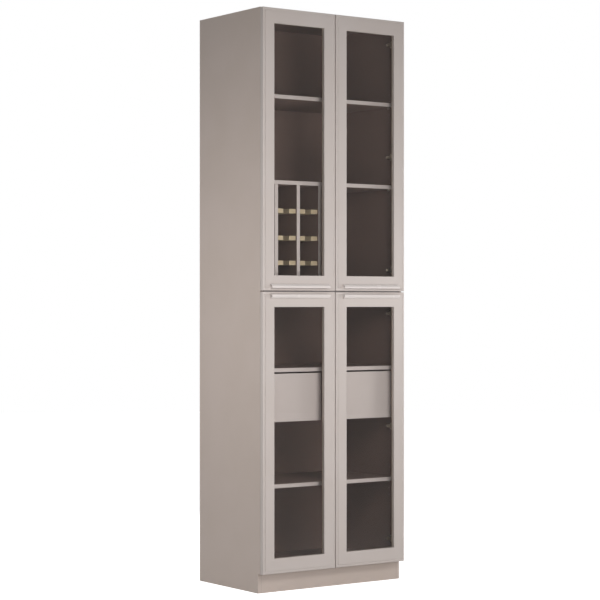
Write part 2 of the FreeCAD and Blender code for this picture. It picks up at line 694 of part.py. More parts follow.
def build_cabinet():
    save("side_panel_left", [side_panel(-1)])
    save("side_panel_right", [side_panel(1)])
    save("top_panel", [fixed_panel(HEIGHT - BOARD, TOP_DOWELS)])
    save("middle_panel", [fixed_panel(MIDDLE_BOTTOM_Z, MIDDLE_DOWELS)])
    save("bottom_panel", [fixed_panel(PLINTH_HEIGHT, BOTTOM_DOWELS)])
    save("back_panel_upper", [back_panel(SPLIT_HEIGHT, HEIGHT)])
    save("back_panel_lower", [back_panel(PLINTH_HEIGHT, SPLIT_HEIGHT)])
    save("hanging_rails", [hanging_rail(HEIGHT - RAIL_HEIGHT, TOP_RAIL_DOWELS),
                           hanging_rail(SPLIT_HEIGHT - RAIL_HEIGHT / 2, MIDDLE_RAIL_DOWELS)])
    save("plinth_board", [plinth_board()])
    save("shelf_top", [loose_shelf(TOP_SHELF_HEIGHT)])
    save("shelf_over_rack", [loose_shelf(RACK_SHELF_HEIGHT)])
    save("shelf_over_drawers", [fixed_shelf()])
    save("shelf_bottom", [loose_shelf(BOTTOM_SHELF_HEIGHT)])
    save("shelf_pins", shelf_pins())
    save("joint_dowels", joint_dowels())
    save("drawer_divider_boards", divider_boards())
    save("drawer_divider_core", [divider_core()])
    save("drawer_slide_rails", slide_rails())
    save("rack_uprights", rack_uprights())
    save("rack_battens", rack_battens())
    save("hinge_plates", hinge_plates())
    save("hinge_arms", hinge_arms())
    save("foot_sockets", foot_sockets())
    save("foot_screws", foot_screws())


def build_door(side, tier):
    name = "door_" + tier + ("_left" if side < 0 else "_right")
    save(name + "_frame", [door_frame(side, tier)])
    save(name + "_glass", [door_glass(side, tier)])
    save(name + "_glazing_beads", glazing_beads(side, tier))
    save(name + "_handle", [door_handle(side, tier)])
    save(name + "_hinge_cups", hinge_cups(side, tier))
    save(name + "_bumpers", bumpers(side, tier))


def build_drawer(side):
    name = "drawer_left" if side < 0 else "drawer_right"
    save(name + "_front", [drawer_front(side)])
    save(name + "_sides", drawer_sides(side))
    save(name + "_back", [drawer_back(side)])
    save(name + "_bottom", [drawer_bottom(side, 0)])
    save(name + "_runners", drawer_runners(side))


os.makedirs("parts", exist_ok=True)
build_cabinet()
for side in (-1, 1):
    build_door(side, "upper")
    build_door(side, "lower")
    build_drawer(side)
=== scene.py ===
import json
import math

import bmesh
import bpy
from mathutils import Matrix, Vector

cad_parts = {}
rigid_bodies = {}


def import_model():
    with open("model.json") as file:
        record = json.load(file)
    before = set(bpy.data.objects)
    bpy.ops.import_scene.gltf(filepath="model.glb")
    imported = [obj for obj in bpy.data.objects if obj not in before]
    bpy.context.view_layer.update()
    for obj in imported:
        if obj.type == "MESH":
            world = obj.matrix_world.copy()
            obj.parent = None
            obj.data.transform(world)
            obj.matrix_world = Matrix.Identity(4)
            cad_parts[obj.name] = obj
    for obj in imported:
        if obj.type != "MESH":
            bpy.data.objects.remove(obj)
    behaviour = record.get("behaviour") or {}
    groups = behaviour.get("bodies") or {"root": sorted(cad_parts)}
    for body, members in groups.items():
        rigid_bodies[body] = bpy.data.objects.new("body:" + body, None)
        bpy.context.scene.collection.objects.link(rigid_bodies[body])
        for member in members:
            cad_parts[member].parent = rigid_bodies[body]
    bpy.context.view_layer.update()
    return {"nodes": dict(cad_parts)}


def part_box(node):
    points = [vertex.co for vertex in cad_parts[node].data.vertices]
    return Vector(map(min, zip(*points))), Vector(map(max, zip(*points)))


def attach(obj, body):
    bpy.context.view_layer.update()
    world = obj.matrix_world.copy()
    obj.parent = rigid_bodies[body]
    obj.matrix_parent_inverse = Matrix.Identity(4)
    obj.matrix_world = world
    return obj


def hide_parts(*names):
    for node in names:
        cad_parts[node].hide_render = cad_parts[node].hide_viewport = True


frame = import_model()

MM = 0.001
TOUCH = 0.01 * MM  # how near two places count as one, and how deep the parts of a piece sit in each other
SAME_WAY = 0.99  # the cosine of the widest angle at which two ways count as one

# Moulding of the doors
STILE_WIDTH = 61 * MM
RAIL_WIDTH = 68 * MM
BEAD_WIDTH = 11 * MM
BEAD_CROWN = 3.5 * MM
BEAD_OUTER_FALL = 3.5 * MM
GROOVE_WIDTH = 1.6 * MM
GROOVE_FLOOR = 0.9 * MM
GROOVE_DEPTH = 2.2 * MM
OUTER_FALL_STEPS = 6
INNER_FALL_STEPS = 4
WINDOW_ROUND = 1.2 * MM
GLASS_SETBACK = 12 * MM
REBATE_WIDTH = 9 * MM
STRIP_CHAMFER = 1.6 * MM
POCKET_PLAY = 0.1 * MM
POCKET_EXTRA = 0.5 * MM

# Handle profile
FLANGE = 2.2 * MM
WEB = 2.4 * MM
LIP = 2.6 * MM
SHOULDER = 9 * MM
SHOULDER_ROUND = 1.2 * MM
TIP_ROUND = 1.2 * MM

# Concealed hinges
CUP_RADIUS = 17.5 * MM
CUP_FLANGE = 0.8 * MM
CUP_WALL = 1.5 * MM
CUP_SIDES = 48
WING_LENGTH = 61 * MM
WING_WIDTH = 15 * MM
WING_THICKNESS = 0.6 * MM
WING_OFFSET = 7 * MM
WING_ROUND = 6 * MM
WING_SCREW = 24 * MM
LINK_HALF_WIDTH = 6 * MM
LINK_REACH = 9 * MM
LINK_ROUND = 2.5 * MM
ARM_ROUND = 3 * MM
ARM_RIM = 1.4 * MM
ARM_PRESSING = 0.6 * MM
ARM_MOUTH = 7 * MM
ARM_SCREWS = (26 * MM, 50 * MM)
PLATE_WAIST = 8.5 * MM
PLATE_TAPER_SHARE = 0.62
PLATE_ROUND = 4 * MM
PLATE_SCREW = 12.6 * MM

# Screws with a cross recess
SCREW_RADIUS = 3.1 * MM
SCREW_SIDES = 20
SCREW_HEAD = 0.9 * MM
SCREW_ROUND = 0.5 * MM
RECESS_LENGTH = 3.6 * MM
RECESS_WIDTH = 0.8 * MM
RECESS_DEPTH = 0.6 * MM

# Shelf pins
PIN_RADIUS = 2.5 * MM
PIN_SIDES = 20
PIN_COLLAR = 1.2 * MM
PIN_BELLY_ROUND = 3.2 * MM

# Drawer slides
SLIDE_STEEL = 1.5 * MM
SLIDE_SCREWS = 3
RUNNER_RIM = 5 * MM
RUNNER_HOLLOW = 3.5 * MM

# Feet
FOOT_FLANGE = 4 * MM
FOOT_CORNER = 9 * MM
BARREL_RADIUS = 17 * MM
BARREL_SIDES = 40
BARREL_WALL = 4 * MM
BORE_DEPTH = 20 * MM
RIB_THICKNESS = 3 * MM
RIB_END = 6 * MM
FOOT_SCREW = 26 * MM
PAD_HEIGHT = 8 * MM
PAD_ROUND = 4 * MM
FOOT_PAD_SIDES = 48
NUT_RADIUS = 14 * MM
NUT_HEIGHT = 7 * MM
NUT_SIDES = 6
STEM_RADIUS = 6 * MM
STEM_SIDES = 24
THREAD_DEPTH_SHARE = 0.84
THREAD_PITCH = 2.5 * MM

# Boards, battens and pads
BOARD_EASE = 0.6 * MM
BATTEN_ROUND = 1.5 * MM
STEEL_EASE = 0.3 * MM
SHEET_EASE = 0.12 * MM
PAD_DOME = 1.2 * MM
PAD_SIDES = 24

# Grain of the finishes
SPRAY_CLOUD = 220 * MM
SPRAY_PATCH = 45 * MM
ORANGE_PEEL = 6 * MM  # 2 to 3 mm on real lacquer, drawn coarser so that it shows from a few metres
MELAMINE_PEARL = 5 * MM  # under 1 mm on real board, drawn coarser
BOARD_FIBRE = 4 * MM
CHIP = 7 * MM
GROWTH_RING = 5 * MM
PORE_WIDTH = 1.6 * MM
PORE_LENGTH = 45 * MM
FLECK_WIDTH = 1.2 * MM
FLECK_LENGTH = 6 * MM
TUMBLED_MARK = 2 * MM
ZINC_SPANGLE = 9 * MM
MOULD_GRAIN = 1.5 * MM
WIPE_MARK = 130 * MM
WAVE_LENGTH = 0.314  # how far apart the wave texture's rings stand at a scale of 1


# The bench: taking pieces in hand, selecting on them and shaping them
def take(*pieces):
    """Puts down what is in hand and takes these pieces, of which the last is active."""
    if bpy.context.mode != "OBJECT":
        bpy.ops.object.mode_set(mode="OBJECT")
    bpy.ops.object.select_all(action="DESELECT")
    for piece in pieces:
        piece.select_set(True)
        bpy.context.view_layer.objects.active = piece


def open_piece(name):
    """Names the piece in hand, settles its place in its mesh and opens it for shaping."""
    piece = bpy.context.object
    piece.name = piece.data.name = name
    bpy.ops.object.transform_apply(location=True, rotation=True, scale=True)
    bpy.ops.object.mode_set(mode="EDIT")
    return piece


def new_block(name, low, high):
    """Starts a piece as a block between two corners."""
    take()
    low, high = Vector(low), Vector(high)
    bpy.ops.mesh.primitive_cube_add(size=1, location=(low + high) / 2, scale=high - low)
    return open_piece(name)


def new_rod(name, radius, start, end, sides):
    """Starts a piece as a round bar between two points."""
    take()
    start, end = Vector(start), Vector(end)
    turn = (end - start).to_track_quat("Z", "Y").to_euler()
    bpy.ops.mesh.primitive_cylinder_add(vertices=sides, radius=radius, depth=(end - start).length,
                                        location=(start + end) / 2, rotation=turn)
    return open_piece(name)


def at(value, *places):
    """Whether a value lies at one of the places."""
    return any(abs(value - place) < TOUCH for place in places)


def facing(*way):
    """A test for the faces that look one way."""
    return lambda face: face.normal.dot(Vector(way)) > SAME_WAY


def pick_faces(piece, test):
    """Selects the faces that pass a test, and no others."""
    bpy.ops.mesh.select_mode(type="FACE")
    bpy.ops.mesh.select_all(action="DESELECT")
    shape = bmesh.from_edit_mesh(piece.data)
    for face in shape.faces:
        if test(face):
            face.select_set(True)
    bmesh.update_edit_mesh(piece.data)


def pick_edges(piece, test):
    """Selects the edges whose two ends both pass a test, and no others."""
    bpy.ops.mesh.select_mode(type="EDGE")
    bpy.ops.mesh.select_all(action="DESELECT")
    shape = bmesh.from_edit_mesh(piece.data)
    for edge in shape.edges:
        if all(test(corner.co) for corner in edge.verts):
            edge.select_set(True)
    bmesh.update_edit_mesh(piece.data)


def pick_edges_along(piece, axis, test=lambda place: True):
    """Selects the edges that run along an axis and whose ends pass a test."""
    bpy.ops.mesh.select_mode(type="EDGE")
    bpy.ops.mesh.select_all(action="DESELECT")
    shape = bmesh.from_edit_mesh(piece.data)
    for edge in shape.edges:
        way = edge.verts[0].co - edge.verts[1].co
        if abs(way[axis]) > SAME_WAY * way.length and all(test(corner.co) for corner in edge.verts):
            edge.select_set(True)
    bmesh.update_edit_mesh(piece.data)


def push(x=0, y=0, z=0):
    """Extrudes what is selected."""
    bpy.ops.mesh.extrude_region_move(TRANSFORM_OT_translate={"value": (x, y, z)})


def shift(x=0, y=0, z=0):
    bpy.ops.transform.translate(value=(x, y, z))


def stretch(centre, x=1, y=1, z=1):
    bpy.ops.transform.resize(value=(x, y, z), center_override=centre)


def round_over(width, segments):
    """Bevels the selected edges round."""
    bpy.ops.mesh.bevel(offset=width, offset_pct=0, segments=segments, profile=0.5, affect="EDGES")


def score(axis, *places):
    """Cuts edge lines right round the piece in hand, square to an axis."""
    for place in places:
        bpy.ops.mesh.select_mode(type="FACE")
        bpy.ops.mesh.select_all(action="SELECT")
        spot, way = [0, 0, 0], [0, 0, 0]
        spot[axis], way[axis] = place, 1
        bpy.ops.mesh.bisect(plane_co=spot, plane_no=way)


def drill(piece, cutter):
    """Takes one piece's shape out of another and throws the cutter away."""
    take(piece)
    hole = piece.modifiers.new("hole", "BOOLEAN")
    hole.operation = "DIFFERENCE"
    hole.solver = "EXACT"
    hole.object = cutter
    bpy.ops.object.modifier_apply(modifier=hole.name)
    take(cutter)
    bpy.ops.object.delete()


def copied(piece, name, move=(0, 0, 0), way=None):
    """A copy with a mesh of its own, turned from +Z to a way and then moved."""
    take(piece)
    bpy.ops.object.duplicate()
    twin = bpy.context.object
    twin.name = twin.data.name = name
    twin.location = move
    if way is not None:
        twin.rotation_euler = Vector(way).to_track_quat("Z", "Y").to_euler()
    bpy.ops.object.transform_apply(location=True, rotation=True, scale=True)
    return twin


def mirrored(piece, name, middle=0):
    """A copy on the other side of an upright plane, the cabinet's own as a rule, with its faces turned out
    again."""
    twin = copied(piece, name)
    bpy.ops.object.mode_set(mode="EDIT")
    bpy.ops.mesh.select_all(action="SELECT")
    stretch((middle, 0, 0), x=-1)
    bpy.ops.mesh.normals_make_consistent(inside=False)
    take()
    return twin


def joined(name, pieces):
    take(*pieces)
    bpy.ops.object.join()
    whole = bpy.context.object
    whole.name = whole.data.name = name
    return whole


def ease_edges(piece, width):
    """Breaks every sharp edge of a piece by a small round."""
    take(piece)
    edges = piece.modifiers.new("eased_edges", "BEVEL")
    edges.width = width
    edges.segments = 3
    edges.limit_method = "ANGLE"
    edges.angle_limit = math.radians(50)
    bpy.ops.object.modifier_apply(modifier=edges.name)


def shade(piece):
    """Shades the rounds smooth and keeps the flats flat."""
    take(piece)
    bpy.ops.object.shade_smooth_by_angle(angle=math.radians(40))
    flats = piece.modifiers.new("flat_flats", "WEIGHTED_NORMAL")
    flats.keep_sharp = True
    bpy.ops.object.modifier_apply(modifier=flats.name)


def solid_boxes(node):
    """The lowest and highest corners of each separate solid of a CAD node, the lowest solids first."""
    shape = bmesh.new()
    shape.from_mesh(frame["nodes"][node].data)
    bmesh.ops.remove_doubles(shape, verts=shape.verts, dist=TOUCH)
    unseen = set(shape.verts)
    boxes = []
    for first in shape.verts:
        if first not in unseen:
            continue
        unseen.remove(first)
        group, ends = [first], [first]
        while ends:
            corner = ends.pop()
            for edge in corner.link_edges:
                other = edge.other_vert(corner)
                if other in unseen:
                    unseen.remove(other)
                    group.append(other)
                    ends.append(other)
        places = [corner.co for corner in group]
        boxes.append((Vector(map(min, *places)), Vector(map(max, *places))))
    shape.free()
    return sorted(boxes, key=lambda box: (round(box[0].z, 3), box[0].x, box[0].y))


def cross_screw():
    """A pan head screw that looks along +Z, seated at the origin."""
    screw = new_rod("screw", SCREW_RADIUS, (0, 0, -SCREW_HEAD), (0, 0, SCREW_HEAD), SCREW_SIDES)
    pick_edges(screw, lambda p: at(p.z, SCREW_HEAD))
    round_over(SCREW_ROUND, segments=3)
    for long_way in (0, 1):
        reach = [RECESS_WIDTH / 2, RECESS_WIDTH / 2, SCREW_HEAD * 2]
        reach[long_way] = RECESS_LENGTH / 2
        foot = Vector((-reach[0], -reach[1], SCREW_HEAD - RECESS_DEPTH))
        drill(screw, new_block("recess", foot, reach))
    return screw


def with_screws(piece, screw, name, spots, ease=STEEL_EASE):
    """Eases a piece and joins screws to it. A spot is the place of a screw's seat and the way that it
    looks."""
    ease_edges(piece, ease)
    return joined(name, [copied(screw, "screw_copy", place, way) for place, way in spots] + [piece])


def bead_rows():
    """The bead's round profile, from the door's edge over the crown into the groove and out of it again: how
    far in from the edge each row lies and how far behind the door's front."""
    quarter = math.pi / 2
    outer = [quarter * step / OUTER_FALL_STEPS for step in range(OUTER_FALL_STEPS + 1)]
    inner = [quarter * step / INNER_FALL_STEPS for step in range(1, INNER_FALL_STEPS + 1)]
    rows = [(BEAD_CROWN * (1 - math.cos(turn)), BEAD_OUTER_FALL * (1 - math.sin(turn))) for turn in outer]
    rows += [(BEAD_CROWN + (BEAD_WIDTH - BEAD_CROWN) * math.sin(turn), GROOVE_DEPTH * (1 - math.cos(turn)))
             for turn in inner]
    return rows + [(BEAD_WIDTH + GROOVE_FLOOR, GROOVE_DEPTH), (BEAD_WIDTH + GROOVE_WIDTH, 0)]


# Doors. Each function shapes the piece of a left door; the right door's is its mirror image.
def door_frame(node, name):
    """One board, moulded in front with a round bead and a groove, open for the glass and rebated behind."""
    low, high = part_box(node)
    middle = (low + high) / 2
    height = high.z - low.z
    board = new_block(name, low, high)
    rows = bead_rows()
    pick_faces(board, facing(0, -1, 0))
    for (near, _), (far, _) in zip(rows, rows[1:]):
        bpy.ops.mesh.inset(thickness=far - near)
    bpy.ops.mesh.inset(thickness=STILE_WIDTH - rows[-1][0])
    stretch(middle, z=(height - 2 * RAIL_WIDTH) / (height - 2 * STILE_WIDTH))
    push(y=GLASS_SETBACK)
    bpy.ops.mesh.delete(type="FACE")
    rebate_across = STILE_WIDTH - REBATE_WIDTH
    rebate_along = RAIL_WIDTH - REBATE_WIDTH
    pick_faces(board, lambda face: face.normal.y > SAME_WAY and at(face.calc_center_median().y, high.y))
    bpy.ops.mesh.inset(thickness=rebate_across)
    stretch(middle, z=(height - 2 * rebate_along) / (height - 2 * rebate_across))
    push(y=low.y + GLASS_SETBACK - high.y)
    bpy.ops.mesh.inset(thickness=REBATE_WIDTH)
    bpy.ops.mesh.delete(type="FACE")
    bpy.ops.mesh.select_all(action="SELECT")
    bpy.ops.mesh.remove_doubles(threshold=TOUCH)
    bpy.ops.mesh.normals_make_consistent(inside=False)

    def on_ring(inset_x, inset_z):
        """A test for the corners of the face's rectangle that lies in by two widths."""
        def test(p):
            beside = at(p.x, low.x + inset_x, high.x - inset_x)
            ends = at(p.z, low.z + inset_z, high.z - inset_z)
            return at(p.y, low.y) and beside and ends
        return test

    pick_edges(board, on_ring(STILE_WIDTH, RAIL_WIDTH))
    round_over(WINDOW_ROUND, segments=4)
    for across, depth in rows:
        pick_edges(board, on_ring(across, across))
        shift(y=depth)
    for cup_low, cup_high in solid_boxes(node.replace("frame", "hinge_cups")):
        cup = (cup_low + cup_high) / 2
        radius = CUP_RADIUS + POCKET_PLAY
        floor = (cup.x, cup_low.y - POCKET_EXTRA, cup.z)
        drill(board, new_rod("pocket", radius, floor, (cup.x, high.y + POCKET_EXTRA, cup.z), CUP_SIDES))
    return board


def door_glass(node, name):
    return new_block(name, *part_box(node))


def glazing_strips(node, name):
    """The strips that hold the pane: a ring in the rebate, chamfered towards the window."""
    low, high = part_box(node)
    ring = new_block(name, low, high)
    pick_faces(ring, lambda face: abs(face.normal.y) > SAME_WAY)
    bpy.ops.mesh.inset(thickness=REBATE_WIDTH, use_individual=True)
    bpy.ops.mesh.bridge_edge_loops()
    pick_edges(ring, lambda p: at(p.y, high.y) and at(p.x, low.x + REBATE_WIDTH, high.x - REBATE_WIDTH)
               and at(p.z, low.z + REBATE_WIDTH, high.z - REBATE_WIDTH))
    round_over(STRIP_CHAMFER, segments=4)
    return ring


def door_handle(node, name):
    """An extruded hook: a flange on the door, a web away from the split, a sloping shoulder and a lip in
    front."""
    low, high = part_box(node)
    far, near, away = (high.z, low.z, 1) if "upper" in node else (low.z, high.z, -1)
    flange_front = high.y - FLANGE
    web_inside = far - away * WEB
    hook = new_block(name, (low.x, flange_front, low.z), high)
    score(2, web_inside)
    # the outer and the inner corner at the end of the web, of the shoulder and of the lip
    inset = WEB * math.sqrt(2)
    stations = (
        ((low.y + SHOULDER, far), (low.y + SHOULDER - WEB + inset, web_inside)),
        ((low.y, far - away * SHOULDER), (low.y + LIP, far - away * (SHOULDER - LIP + inset))),
        ((low.y, near), (low.y + LIP, near)),
    )
    corners = ((flange_front, far), (flange_front, web_inside))
    for targets in stations:
        middle = (Vector(corners[0]) + Vector(corners[1])) / 2
        pick_faces(hook, lambda face: at(face.calc_center_median().y, middle.x)
                   and at(face.calc_center_median().z, middle.y))
        push(y=-TIP_ROUND)
        for (y, z), (new_y, new_z) in zip(corners, targets):
            pick_edges(hook, lambda p: at(p.y, y - TIP_ROUND) and at(p.z, z))
            shift(y=new_y - y + TIP_ROUND, z=new_z - z)
        corners = targets
    for rounded, width in ((stations[2], TIP_ROUND), ((stations[0][0], stations[1][0]), SHOULDER_ROUND)):
        pick_edges_along(hook, 0, lambda p: any(at(p.y, y) and at(p.z, z) for y, z in rounded))
        round_over(width, segments=4)
    return hook


def hinge_cup(low, high, name, screw):
    """A deep-drawn cup with its screw wings and the folded link that lies in it."""
    middle = (low + high) / 2
    radius = (high.x - low.x) / 2
    seat = high.y - CUP_FLANGE
    cup = new_rod(name, radius, (middle.x, seat, middle.z), (middle.x, high.y, middle.z), CUP_SIDES)
    pick_faces(cup, facing(0, -1, 0))
    bpy.ops.mesh.inset(thickness=radius - CUP_RADIUS)
    push(y=low.y - seat)
    pick_faces(cup, facing(0, 1, 0))
    bpy.ops.mesh.inset(thickness=radius - CUP_RADIUS + CUP_WALL)
    push(y=low.y + CUP_WALL - high.y)
    wing_x = middle.x + WING_OFFSET
    wing = new_block("wing", (wing_x - WING_WIDTH / 2, seat, middle.z - WING_LENGTH / 2),
                     (wing_x + WING_WIDTH / 2, seat + WING_THICKNESS, middle.z + WING_LENGTH / 2))
    pick_edges_along(wing, 1)
    round_over(WING_ROUND, segments=6)
    take(wing)
    opening = CUP_RADIUS - CUP_WALL / 2
    drill(wing, new_rod("opening", opening, (middle.x, seat - POCKET_EXTRA, middle.z),
                        (middle.x, high.y + POCKET_EXTRA, middle.z), CUP_SIDES))
    link = new_block("link", (middle.x - LINK_REACH, low.y + CUP_WALL, middle.z - LINK_HALF_WIDTH),
                     (middle.x + LINK_REACH, high.y - CUP_FLANGE, middle.z + LINK_HALF_WIDTH))
    pick_edges(link, lambda p: at(p.y, high.y - CUP_FLANGE))
    round_over(LINK_ROUND, segments=4)
    spots = [((wing_x, seat + WING_THICKNESS, middle.z + turn * WING_SCREW), (0, 1, 0)) for turn in (-1, 1)]
    return with_screws(joined(name, [wing, link, cup]), screw, name, spots, ease=SHEET_EASE)


def hinge_cups(node, name):
    screw = cross_screw()
    boxes = solid_boxes(node)
    first = hinge_cup(*boxes[0], "hinge_cup", screw)
    cups = [copied(first, "hinge_cup_copy", low - boxes[0][0]) for low, _ in boxes[1:]]
    take(screw)
    bpy.ops.object.delete()
    return joined(name, cups + [first])


def bumper_pads(node, name):
    """Soft pads, domed where the carcass meets them."""
    pads = []
    for low, high in solid_boxes(node):
        middle = (low + high) / 2
        radius = (high.x - low.x) / 2
        pad = new_rod("pad", radius, (middle.x, low.y, middle.z), (middle.x, high.y, middle.z), PAD_SIDES)
        pick_edges(pad, lambda p: at(p.y, high.y))
        round_over(PAD_DOME, segments=4)
        pads.append(pad)
    return joined(name, pads)


# Hinges and other hardware on the cabinet. What stands on the left side is mirrored to the right.
def left_boxes(node):
    return [box for box in solid_boxes(node) if box[1].x < 0]


def both_sides(node, name, make):
    """Shapes the first left piece of a node, copies it to its other left places and mirrors them all. Each
    maker is handed a screw, also where it has no use for one."""
    boxes = left_boxes(node)
    screw = cross_screw()
    first = make(*boxes[0], screw)
    left = joined(name, [copied(first, "copy", low - boxes[0][0]) for low, _ in boxes[1:]] + [first])
    take(screw)
    bpy.ops.object.delete()
    return joined(name, [mirrored(left, "mirrored_copy"), left])


def hinge_arm(low, high, screw):
    """A pressed arm, hollow at its ends, with its two adjusting screws."""
    middle = (low + high) / 2
    arm = new_block("arm", low, high)
    pick_edges_along(arm, 1, lambda p: at(p.x, high.x))
    round_over(ARM_ROUND, segments=5)
    pick_faces(arm, facing(1, 0, 0))
    bpy.ops.mesh.inset(thickness=ARM_RIM)
    push(x=-ARM_PRESSING)
    for way, reach in ((-1, ARM_MOUTH), (1, -ARM_MOUTH)):
        pick_faces(arm, facing(0, way, 0))
        bpy.ops.mesh.inset(thickness=ARM_RIM)
        push(y=reach)
    seat = high.x - ARM_PRESSING
    spots = [((seat, low.y + place, middle.z), (1, 0, 0)) for place in ARM_SCREWS]
    take(arm)
    return with_screws(arm, screw, "arm", spots)


def hinge_plate(low, high, screw):
    """A cross-shaped mounting plate with a screw in each wing."""
    middle = (low + high) / 2
    plate = new_block("plate", low, high)
    score(2, middle.z - PLATE_WAIST, middle.z + PLATE_WAIST)
    for way in (-1, 1):
        pick_faces(plate, facing(0, 0, way))
        stretch(middle, y=PLATE_TAPER_SHARE)
    pick_edges_along(plate, 0, lambda p: at(p.z, low.z, high.z))
    round_over(PLATE_ROUND, segments=5)
    take(plate)
    spots = [((high.x, middle.y, middle.z + turn * PLATE_SCREW), (1, 0, 0)) for turn in (-1, 1)]
    return with_screws(plate, screw, "plate", spots)


def shelf_pin(low, high, screw):
    """A pin with a collar and a tongue, flat on top and round below."""
    middle = (low + high) / 2
    wall = high.x - (high.z - low.z)
    tongue = new_block("tongue", (wall, low.y, low.z), high)
    pick_edges_along(tongue, 0, lambda p: at(p.z, low.z))
    round_over(PIN_BELLY_ROUND, segments=5)
    pick_faces(tongue, facing(1, 0, 0))
    bpy.ops.mesh.inset(thickness=PIN_COLLAR / 2)
    stem = new_rod("stem", PIN_RADIUS, (low.x, middle.y, middle.z), (wall, middle.y, middle.z), PIN_SIDES)
    return joined("pin", [stem, tongue])


def slide_rail(low, high):
    """A steel channel, open towards +X, with the screws that hold it."""
    middle = (low + high) / 2
    web = low.x + SLIDE_STEEL
    rail = new_block("rail", low, (web, high.y, high.z))
    score(2, low.z + SLIDE_STEEL, high.z - SLIDE_STEEL)
    to_edge = (high.z - low.z) / 2 - SLIDE_STEEL
    pick_faces(rail, lambda face: face.normal.x > SAME_WAY
               and abs(face.calc_center_median().z - middle.z) > to_edge)
    push(x=high.x - web)
    take(rail)
    screw = cross_screw()
    pitch = (high.y - low.y) / SLIDE_SCREWS
    spots = [((web, low.y + (number + 0.5) * pitch, middle.z), (1, 0, 0)) for number in range(SLIDE_SCREWS)]
    rail = with_screws(rail, screw, "rail", spots)
    take(screw)
    bpy.ops.object.delete()
    return rail


def slide_rails(node, name):
    """Two rails open to the right and two to the left, on the sides and on the divider."""
    boxes = solid_boxes(node)
    right_open = [boxes[0], boxes[2]]
    first = slide_rail(*boxes[0])
    second = copied(first, "rail_copy", right_open[1][0] - right_open[0][0])
    pair = joined("rails_left", [second, first])
    return joined(name, [mirrored(pair, "rails_right"), pair])


def runners(node, name):
    """The runners of the left drawer: hollow bars that face their rails."""
    (wall_low, wall_high), (_, inner_high) = solid_boxes(node)
    bar = new_block("runner", wall_low, wall_high)
    pick_faces(bar, facing(-1, 0, 0))
    bpy.ops.mesh.inset(thickness=RUNNER_RIM)
    push(x=RUNNER_HOLLOW)
    take(bar)
    return joined(name, [mirrored(bar, "inner_runner", (inner_high.x + wall_low.x) / 2), bar])


def foot_socket(low, high, screw):
    """A flange with four screws, a barrel and the ribs between them."""
    middle = (low + high) / 2
    under = high.z - FOOT_FLANGE
    flange = new_block("flange", (low.x, low.y, under), high)
    pick_edges_along(flange, 2)
    round_over(FOOT_CORNER, segments=6)
    take(flange)
    barrel_top, barrel_end = (middle.x, middle.y, under + TOUCH), (middle.x, middle.y, low.z)
    barrel = new_rod("barrel", BARREL_RADIUS, barrel_top, barrel_end, BARREL_SIDES)
    pick_faces(barrel, facing(0, 0, -1))
    bpy.ops.mesh.inset(thickness=BARREL_WALL)
    push(z=BORE_DEPTH)
    take(barrel)
    parts = [barrel, flange]
    for x_way, y_way in ((1, 0), (-1, 0), (0, 1), (0, -1)):
        way = Vector((x_way, y_way, 0))
        across = Vector((abs(y_way), abs(x_way), 0)) * RIB_THICKNESS / 2
        near_end = middle + way * (BARREL_RADIUS - BARREL_WALL / 2)
        far_end = middle + way * ((high.x - low.x) / 2 - RIB_END)
        near_end.z, far_end.z = low.z + RIB_END, under + TOUCH
        ends = (near_end - across, near_end + across, far_end - across, far_end + across)
        rib = new_block("rib", [min(p[i] for p in ends) for i in range(3)],
                        [max(p[i] for p in ends) for i in range(3)])
        pick_edges(rib, lambda p: at(p.z, near_end.z) and at((p - far_end).dot(way), 0))
        shift(z=under - RIB_END / 2 - near_end.z)
        take(rib)
        parts.append(rib)
    spots = [((middle.x + a * FOOT_SCREW, middle.y + b * FOOT_SCREW, under), (0, 0, -1))
             for a in (-1, 1) for b in (-1, 1)]
    return with_screws(joined("socket", parts), screw, "socket", spots)


def levelling_foot(low, high, screw):
    """A round pad, the nut that turns it and a threaded stem."""
    middle = (low + high) / 2
    pad_top = low.z + PAD_HEIGHT
    pad = new_rod("pad", (high.x - low.x) / 2, (middle.x, middle.y, low.z), (middle.x, middle.y, pad_top),
                  FOOT_PAD_SIDES)
    pick_edges(pad, lambda p: at(p.z, pad_top))
    round_over(PAD_ROUND, segments=5)
    take(pad)
    nut_top = pad_top + NUT_HEIGHT
    nut = new_rod("nut", NUT_RADIUS, (middle.x, middle.y, pad_top - TOUCH), (middle.x, middle.y, nut_top),
                  NUT_SIDES)
    take(nut)
    stem = new_rod("stem", STEM_RADIUS, (middle.x, middle.y, nut_top - TOUCH),
                   (middle.x, middle.y, nut_top + THREAD_PITCH / 2), STEM_SIDES)
    top = nut_top + THREAD_PITCH / 2
    wide = False
    while top + THREAD_PITCH / 2 < high.z:
        pick_faces(stem, lambda face: face.normal.z > SAME_WAY and at(face.calc_center_median().z, top))
        push(z=THREAD_PITCH / 2)
        size = 1 / THREAD_DEPTH_SHARE if wide else THREAD_DEPTH_SHARE
        stretch(middle, x=size, y=size)
        wide = not wide
        top += THREAD_PITCH / 2
    take(stem)
    return joined("foot", [nut, stem, pad])


# Boards whose edges are eased
def board(node, name):
    """A copy of a CAD node's boards with the loose triangles merged into whole faces."""
    take(frame["nodes"][node])
    bpy.ops.object.duplicate()
    copy = bpy.context.object
    bpy.ops.object.parent_clear(type="CLEAR_KEEP_TRANSFORM")
    bpy.ops.mesh.customdata_custom_splitnormals_clear()
    open_piece(name)
    bpy.ops.mesh.select_all(action="SELECT")
    bpy.ops.mesh.remove_doubles(threshold=TOUCH)
    bpy.ops.mesh.dissolve_limited(angle_limit=math.radians(1))
    take(copy)
    return copy


